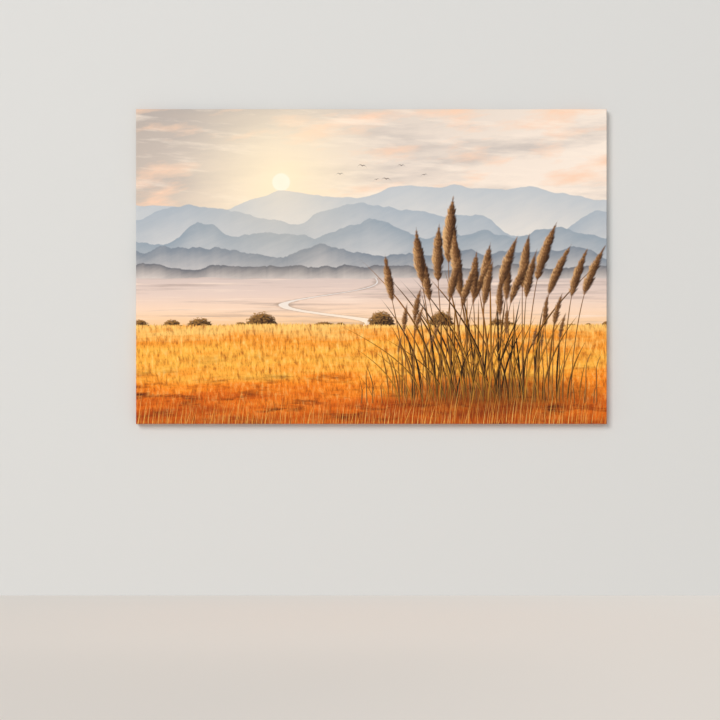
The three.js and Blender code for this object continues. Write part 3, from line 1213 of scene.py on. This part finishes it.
    def folded(self, ring: Array, section: Array, place: Array, level: Array) -> Array:
        """How far the outer face stands proud of its section, up or down and backwards.

        The folded cloth stands proud in the triangle behind the diagonal on the upper and lower sides, and
        beside the mitre on the upper and lower flaps. Between two staples the flap's edge lifts as a sine.

        Args:
            ring: The border's x and z as shares of half the sides, two rows.
            section: The profile's rows after the first.
            place: The rings' x and z in metres, two grids.
            level: True where the border runs along the upper or lower side.

        Returns:
            The outward and the backward distance in metres, two grids.
        """
        inward, depth, length = (column[:, None] for column in section.T)
        half = self.sizes.half
        on_flap = (inward > self.back_round / 2) & (depth > self.sizes.front + 2 * self.front_round)
        reach = half - self.front_round
        from_corner = np.where(level, *((1 - np.abs(ring)) * reach[:, None]))
        behind = climb(depth - self.sizes.front - from_corner, -self.fold_edge, self.fold_edge)
        tucked = climb(from_corner, 0.0, self.fold_tuck) * climb(length, 0.0, self.front_round * QUARTER)
        outward = self.fold * behind * tucked * level * ~on_flap
        patch = climb(from_corner - self.patch_slant * inward, self.patch, self.patch - self.patch_edge)
        patch = patch * climb(inward, self.back_round, self.back_round + self.patch_rise)
        first = np.where(level, *half) - self.staple_from
        beyond = np.where(level, *np.abs(place)) - first
        hill = np.abs(np.sin(beyond / self.staple_step * math.pi)) * (beyond < 0)
        loose = climb(inward, self.sizes.flap * self.lift_from, self.sizes.flap)
        backward = self.patch_share * self.fold * patch * level + self.lift * hill * loose
        return np.stack([outward, on_flap * backward])

    def shell(self, inset: float) -> Tuple[Array, Array, Array, Array]:
        """One face of the cloth, from the front's grid through its rings to the cut edge.

        The front ripples by the sum of two sines, stilled towards its edges. The cut edge frays by the sum
        of two more.

        Args:
            inset: Distance in from the outer face, in metres.

        Returns:
            The vertices, the quads, each quad corner's place on the flat cloth, and each quad's side number,
            or -1 on the front.
        """
        half, reach = self.sizes.half, self.sizes.half - self.front_round
        section = self.profile(inset)
        share_x, share_z = np.meshgrid(self.lines(half[0]), self.lines(half[1]))
        still = (1 - share_x ** 6) * (1 - share_z ** 6)
        ripple = 0.5 * np.sin(share_x * 7.0 + share_z * 3.0) + 0.5 * np.sin(share_x * 3.1 - share_z * 8.0 + 1.0)
        front = np.stack([
            share_x * reach[0], section[0, 1] + self.slack * still * ripple, share_z * reach[1]
        ], axis=2).reshape(-1, 3)
        ring = np.stack([self.border(share_x), self.border(share_z)])
        upright, level = np.abs(ring) > 1 - TINY

        place = self.rounded(ring, section[1:], inset)
        depth = np.repeat(section[1:, 1:2], ring.shape[1], axis=1)
        if inset == 0.0:
            outward, backward = self.folded(ring, section[1:], place, level)
            place[1] += np.sign(place[1]) * outward
            depth += backward
        frayed = self.fray * (np.sin(ring[0] * 91.0 + ring[1] * 57.0) + np.sin(ring[0] * 37.0 - ring[1] * 83.0))
        place[:, -1] -= np.sign(place[:, -1]) * frayed * np.stack([upright, level])
        rings = np.stack([place[0], depth, place[1]], axis=2).reshape(-1, 3)
        places = np.concatenate([front, rings]) + [0.0, 0.0, self.sizes.middle]

        grid = np.arange(share_x.size).reshape(share_x.shape)
        panel = np.stack([grid[:-1, :-1], grid[:-1, 1:], grid[1:, 1:], grid[1:, :-1]], axis=2).reshape(-1, 4)
        later = share_x.size + np.arange(len(rings)).reshape(-1, ring.shape[1])
        faces = np.concatenate([panel, ring_quads(np.vstack([self.border(grid), later]))])
        tall, wide = share_x.shape
        sides = np.repeat([side.value for side in Side], [wide - 1, tall - 1] * 2)
        way = np.tile(sides, len(section) - 1)[:, None]
        lying = way % 2 == 0
        sign = np.where((way == Side.TOP.value) | (way == Side.RIGHT.value), 1, -1)
        out = ring_quads(np.repeat(section[:, 2:3], ring.shape[1], axis=1))
        along = [ring_quads(np.vstack([r * most, p])) for r, most, p in zip(ring, reach, place)]
        strips = np.stack([
            np.where(lying, along[0], sign * (reach[0] + out)), np.where(lying, sign * (reach[1] + out), along[1])
        ], axis=2)
        flat = np.concatenate([front[:, [0, 2]][panel], strips])
        return places, faces, flat, np.concatenate([np.full(len(panel), -1), way[:, 0]])

    def bake_map(self, flat: Array, where: Array, outer: bool) -> Array:
        """Lays the faces out in the square map: the front over its upper two thirds, the rest below it.

        Args:
            flat: Each quad corner's place on the flat cloth, in metres.
            where: Each quad's side number, or -1 on the front.
            outer: True for the printed face, false for the bare one.

        Returns:
            Each quad corner's place in the square.
        """
        front = Patch(0.004, 0.336, 0.992, 0.660) if outer else Patch(0.004, 0.004, 0.290, 0.190)
        share = flat / (2 * self.sizes.half) + 0.5
        past = np.abs(flat) - (self.sizes.half - self.front_round)
        placed = front.lay(share[..., 0], share[..., 1])
        for side in Side:
            axis = side.value % 2
            if outer:
                strip = Patch(0.006, 0.204 + 0.0325 * side.value, (0.98, 0.66)[axis], 0.029)
            else:
                strip = Patch(0.32, 0.010 + 0.045 * side.value, 0.6, 0.03)
            here = where == side.value
            placed[here] = strip.lay(share[here, :, axis], past[here, :, 1 - axis] / self.profile(0.0)[-1, 2])
        return placed

    def build(self, printed: Material, raw: Material) -> Object:
        """Joins the outer and inner faces at the cut edge and gives the sheet its two maps.

        Args:
            printed: Finish of the outer face.
            raw: Finish of the inner face.

        Returns:
            The sheet.
        """
        outer, quads, outer_flat, where = self.shell(0.0)
        inner, _, inner_flat, _ = self.shell(self.sizes.thickness)
        count = len(outer)
        around = 2 * sum(len(self.lines(half)) - 1 for half in self.sizes.half)
        rim_out = np.arange(count - around, count)
        rim_in = rim_out + count
        rim = np.stack([rim_out, rim_in, np.roll(rim_in, -1), np.roll(rim_out, -1)], axis=1)
        rim_flat = outer_flat[-around:][:, [1, 1, 2, 2]]
        faces = np.concatenate([quads, quads[:, ::-1] + count, rim])
        flat = np.concatenate([outer_flat, inner_flat[:, ::-1], rim_flat])
        bake = np.concatenate([
            self.bake_map(outer_flat, where, True),
            self.bake_map(inner_flat, where, False)[:, ::-1],
            self.bake_map(rim_flat, where[-around:], False),
        ])
        mesh = from_arrays("stretched_cloth", np.concatenate([outer, inner]), faces)
        sheet = smooth_piece(mesh, printed, raw)
        for name, values in ((FLAT_MAP, flat), ("OFBake", bake)):
            layer = mesh.uv_layers.new(name=name)
            layer.data.foreach_set("uv", values.reshape(-1).astype(np.float32))
        mesh.uv_layers.active = mesh.uv_layers[FLAT_MAP]
        bare = np.arange(len(faces)) >= len(quads)
        mesh.polygons.foreach_set("material_index", bare.astype(np.int32))
        mesh.update()
        return sheet

    def dress(self, sheet: Object) -> None:
        """Puts the sheet in place of the flat panels.

        Args:
            sheet: The sheet.
        """
        panels = [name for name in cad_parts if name.startswith("canvas_")]
        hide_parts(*panels)
        settle(sheet)


@dataclass
class Stretcher:
    """The mitred pine frame with its braces and the wedges in its corners."""

    soft_bar: float = 0.5 * MM
    soft_key: float = 0.4 * MM

    def build(self) -> List[Object]:
        """Makes the bars, braces and keys.

        Returns:
            The four outer bars.
        """
        bars = []
        pine, beech = Softener(Slot.PINE, self.soft_bar), Softener(Slot.BEECH, self.soft_key)
        wooden = [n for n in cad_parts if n.startswith(("bar_", "brace_"))]
        for seed, node in enumerate(sorted(wooden)):
            upright = "left" in node or "right" in node
            grain = Grain.UPRIGHT if upright else Grain.ACROSS
            piece = pine.replace(node, "pine", PlanedPine(f"pine_{node}", grain, 1.0 + seed).material())
            if node.startswith("bar_"):
                bars.append(piece)
        wedge = SawnBeech().material()
        for node in sorted(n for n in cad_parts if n.startswith("key_")):
            beech.replace(node, "beech", wedge)
        return bars


@dataclass
class HangingGear:
    """The serrated plates with their screws, and the rubber pads at the lower corners."""

    soft_plate: float = 0.25 * MM
    soft_screw: float = 0.15 * MM
    soft_pad: float = 0.5 * MM

    def build(self) -> None:
        """Makes each pad, plate and screw."""
        screw = ZincPlate("zinc_screw", tone=0.60)
        for kind, prefix, softener, material in (
            ("bumper_", "rubber", Softener(Slot.RUBBER, self.soft_pad, steps=3), BlackRubber().material()),
            ("hanger_", "zinc", Softener(Slot.ZINC, self.soft_plate), ZincPlate("zinc_plate").material()),
            ("screw_", "zinc", Softener(Slot.ZINC, self.soft_screw, steps=1), screw.material()),
        ):
            for node in sorted(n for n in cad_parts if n.startswith(kind)):
                softener.replace(node, prefix, material)


@dataclass
class Staples:
    """The row of steel staples that holds each flap.

    crown is a staple's length and row its distance in from the outline. Its section is squared by the power
    square, and its ends are sunk that many times its thickness into the cloth.
    """

    cloth: StretchedCloth
    crown: float = 10.5 * MM
    wide: float = 1.25 * MM
    thick: float = 0.65 * MM
    row: float = 15 * MM
    stray: float = 1.2 * MM
    twist: float = math.radians(7)
    square: float = 0.6
    sunk: float = 0.75
    steps_along: int = 9
    steps_round: int = 8
    seed: int = 11

    def spots(self) -> Array:
        """Where the staples are, each a little out of its place.

        Returns:
            Rows of x, z and the turn about the depth in radians.
        """
        rng = np.random.default_rng(self.seed)
        half = self.cloth.sizes.half
        rows = []
        for axis in (0, 1):
            along = self.cloth.staple_line(half[axis])
            for sign in (-1.0, 1.0):
                off = np.full_like(along, sign * (half[1 - axis] - self.row))
                pair = (along, off) if axis == 0 else (off, along)
                rows.append(np.column_stack([*pair, np.full_like(along, axis * QUARTER)]))
        spots = np.concatenate(rows)
        return spots + rng.normal(size=spots.shape) * [self.stray, self.stray, self.twist]

    def shape(self) -> Tuple[Array, Array]:
        """One staple's arch with a rounded section.

        The arch's height is one less the tenth power of the place along it, so it is flat on top and drops
        steeply into the cloth at both ends. The section is a superellipse.

        Returns:
            Rows of the place along, across and above the cloth, and rows of four vertex numbers.
        """
        place = np.linspace(-1.0, 1.0, self.steps_along)
        around = np.linspace(0.0, 2 * math.pi, self.steps_round, endpoint=False)
        circle = np.stack([np.cos(around), np.sin(around)])
        across, rise = np.sign(circle) * np.abs(circle) ** self.square * [[self.wide / 2], [self.thick / 2]]
        arch = (1 - np.abs(place) ** 10) * self.thick - self.thick * self.sunk
        local = np.column_stack([
            np.repeat(place * self.crown / 2, len(around)),
            np.tile(across, len(place)),
            np.repeat(arch, len(around)) + np.tile(rise, len(place)),
        ])
        ring = np.arange(len(local)).reshape(len(place), -1)
        step = np.arange(len(around) // 2 - 1)
        cap = np.column_stack([step, step + 1, -step - 2, -step - 1])
        return local, np.concatenate([ring_quads(ring), ring[0][cap], ring[-1][cap[:, ::-1]]])

    def build(self) -> Object:
        """Stands a copy of the arch at each spot, turned as the spot says.

        Returns:
            All the staples as one piece.
        """
        spots, (local, quads) = self.spots(), self.shape()
        cos, sin = np.cos(spots[:, 2:3]), np.sin(spots[:, 2:3])
        x = spots[:, 0:1] + local[:, 0] * cos - local[:, 1] * sin
        z = spots[:, 1:2] + local[:, 0] * sin + local[:, 1] * cos + self.cloth.sizes.middle
        y = self.cloth.sizes.back + np.broadcast_to(local[:, 2], x.shape)
        places = np.stack([x, y, z], axis=2).reshape(-1, 3)
        faces = (quads[None] + (np.arange(len(spots)) * len(local))[:, None, None]).reshape(-1, 4)
        mesh = from_arrays("staples", places, faces)
        piece = smooth_piece(mesh, ZincPlate("staple_wire", tone=0.62).material())
        work = bmesh.new()
        work.from_mesh(mesh)
        bmesh.ops.recalc_face_normals(work, faces=work.faces)
        work.to_mesh(mesh)
        work.free()
        settle(piece)
        return piece


@dataclass
class Studio:
    """The camera at the photograph's angle, soft light from the upper left, and a plain floor and wall.

    The picture's middle is right_of_camera and above_camera, and its width takes up picture_share of the view.
    The floor and wall go as far as reach, the floor lies floor_below the picture's lower edge, and wall_clear
    keeps the wall off the plates.
    """

    sizes: Bounds
    distance: float = 9.0
    right_of_camera: float = 0.0581
    above_camera: float = 0.4766
    picture_share: float = 470.9 / 720.0
    sensor: float = 36.0
    farthest: float = 60.0
    floor_below: float = 0.88
    reach: float = 14.0
    wall_clear: float = 1.2 * MM
    wall_top: float = 6.0

    def camera(self) -> None:
        """Looks level along +Y, from where the picture fills its measured share of the frame."""
        data = bpy.data.cameras.new("camera")
        data.sensor_width = self.sensor
        data.lens = self.sensor * self.picture_share * self.distance / (2 * self.sizes.half[0])
        data.clip_end = self.farthest
        camera = put_in_scene("camera", data)
        camera.location = (
            -self.right_of_camera, self.sizes.front - self.distance, self.sizes.middle - self.above_camera
        )
        camera.rotation_euler = (QUARTER, 0.0, 0.0)
        bpy.context.scene.camera = camera

    def lamp(self, name: str, place: Place, size: float, power: float, tint: Colour) -> None:
        """Hangs a square soft light that points at the picture's middle.

        Args:
            name: The light's name.
            place: Where it hangs, in metres.
            size: The length of its sides in metres.
            power: Its power in watts.
            tint: Its colour as seen.
        """
        data = bpy.data.lights.new(name, "AREA")
        data.shape = "SQUARE"
        data.size = size
        data.energy = power
        data.color = linear(tint)[:3]
        light = put_in_scene(name, data)
        light.location = place
        away = Vector((0.0, 0.0, self.sizes.middle)) - Vector(place)
        light.rotation_euler = away.to_track_quat("-Z", "Y").to_euler()

    def panel(self, name: str, corners: Array, tint: Colour, one_sided: bool) -> Object:
        """Makes a plain matt backdrop.

        Args:
            name: Its name and its finish's.
            corners: Rows of x, y and z for its four corners.
            tint: Its colour as seen.
            one_sided: Whether it is clear from behind, so that the back of the print shows.

        Returns:
            The backdrop.
        """
        s = Finish(name)
        shader = s.make("BsdfPrincipled", {"Base Color": tint, "Roughness": 0.9, "Specular IOR Level": 0.1})
        if one_sided:
            behind = s.make("NewGeometry", {}, "Backfacing")
            shader = s.make("MixShader", {0: behind, 1: shader, 2: s.make("BsdfTransparent", {})})
        return smooth_piece(from_arrays(name, corners, np.arange(4)[None]), s.end(shader))

    def backdrop(self) -> None:
        """Lays the floor and stands the wall behind the print. The wall only shows to the camera."""
        ground = self.sizes.middle - self.sizes.half[1] - self.floor_below
        right = self.reach * np.array([-1, 1, 1, -1])
        away = self.reach * np.array([-1, -1, 1, 1])
        up = np.where(away < 0, ground, self.wall_top)
        level, clear = np.full(4, ground), np.full(4, self.wall_clear)
        floor = self.panel("floor", np.column_stack([right, away, level]), (0.95, 0.92, 0.88), False)
        wall = self.panel("wall", np.column_stack([right, clear, up]), (0.84, 0.84, 0.83), True)
        wall.visible_diffuse = wall.visible_glossy = wall.visible_shadow = wall.visible_transmission = False

    def world(self) -> None:
        """Soft light from all round, behind which the camera sees a paler plain ground."""
        world = bpy.data.worlds.new("room")
        world.use_nodes = True
        s = Sketch(world.node_tree)
        light = s.make("Background", {0: (0.93, 0.95, 0.98), 1: 0.42})
        ground = s.make("Background", {0: (0.90, 0.905, 0.91), 1: 0.85})
        to_camera = s.make("LightPath", {}, "Is Camera Ray")
        s.node("OutputWorld", {0: s.make("MixShader", {0: to_camera, 1: light, 2: ground})})
        bpy.context.scene.world = world

    def build(self) -> None:
        """Hangs the lights and sets up the ground behind the print."""
        self.lamp("key", (-15.0, -27.2, 13.4), 16.0, 7900.0, (1.0, 0.99, 0.98))
        self.lamp("front_fill", (3.0, -11.0, 1.0), 6.0, 80.0, (0.97, 0.98, 1.0))
        self.lamp("back_fill", (4.5, 10.0, 1.5), 5.0, 560.0, (1.0, 0.99, 0.975))
        self.world()
        self.backdrop()
        bpy.context.scene.view_settings.view_transform = "Standard"


def main() -> None:
    """Builds the print in order: camera, frame, cloth, staples and hanging gear, then the studio."""
    logging.basicConfig(level=logging.INFO, format="%(name)s: %(message)s")
    sizes = Bounds.measured()
    studio = Studio(sizes)
    studio.camera()
    bars = Stretcher().build()
    cloth = StretchedCloth(sizes)
    picture = Landscape(2 * float(sizes.half[0]), 2 * float(sizes.half[1]), cloth.bleed())
    sheet = cloth.build(PrintedCotton(picture).material(), RawCotton(picture.height).material())
    cloth.dress(sheet)
    Staples(cloth).build()
    HangingGear().build()
    studio.build()


if __name__ == "__main__":
    main()
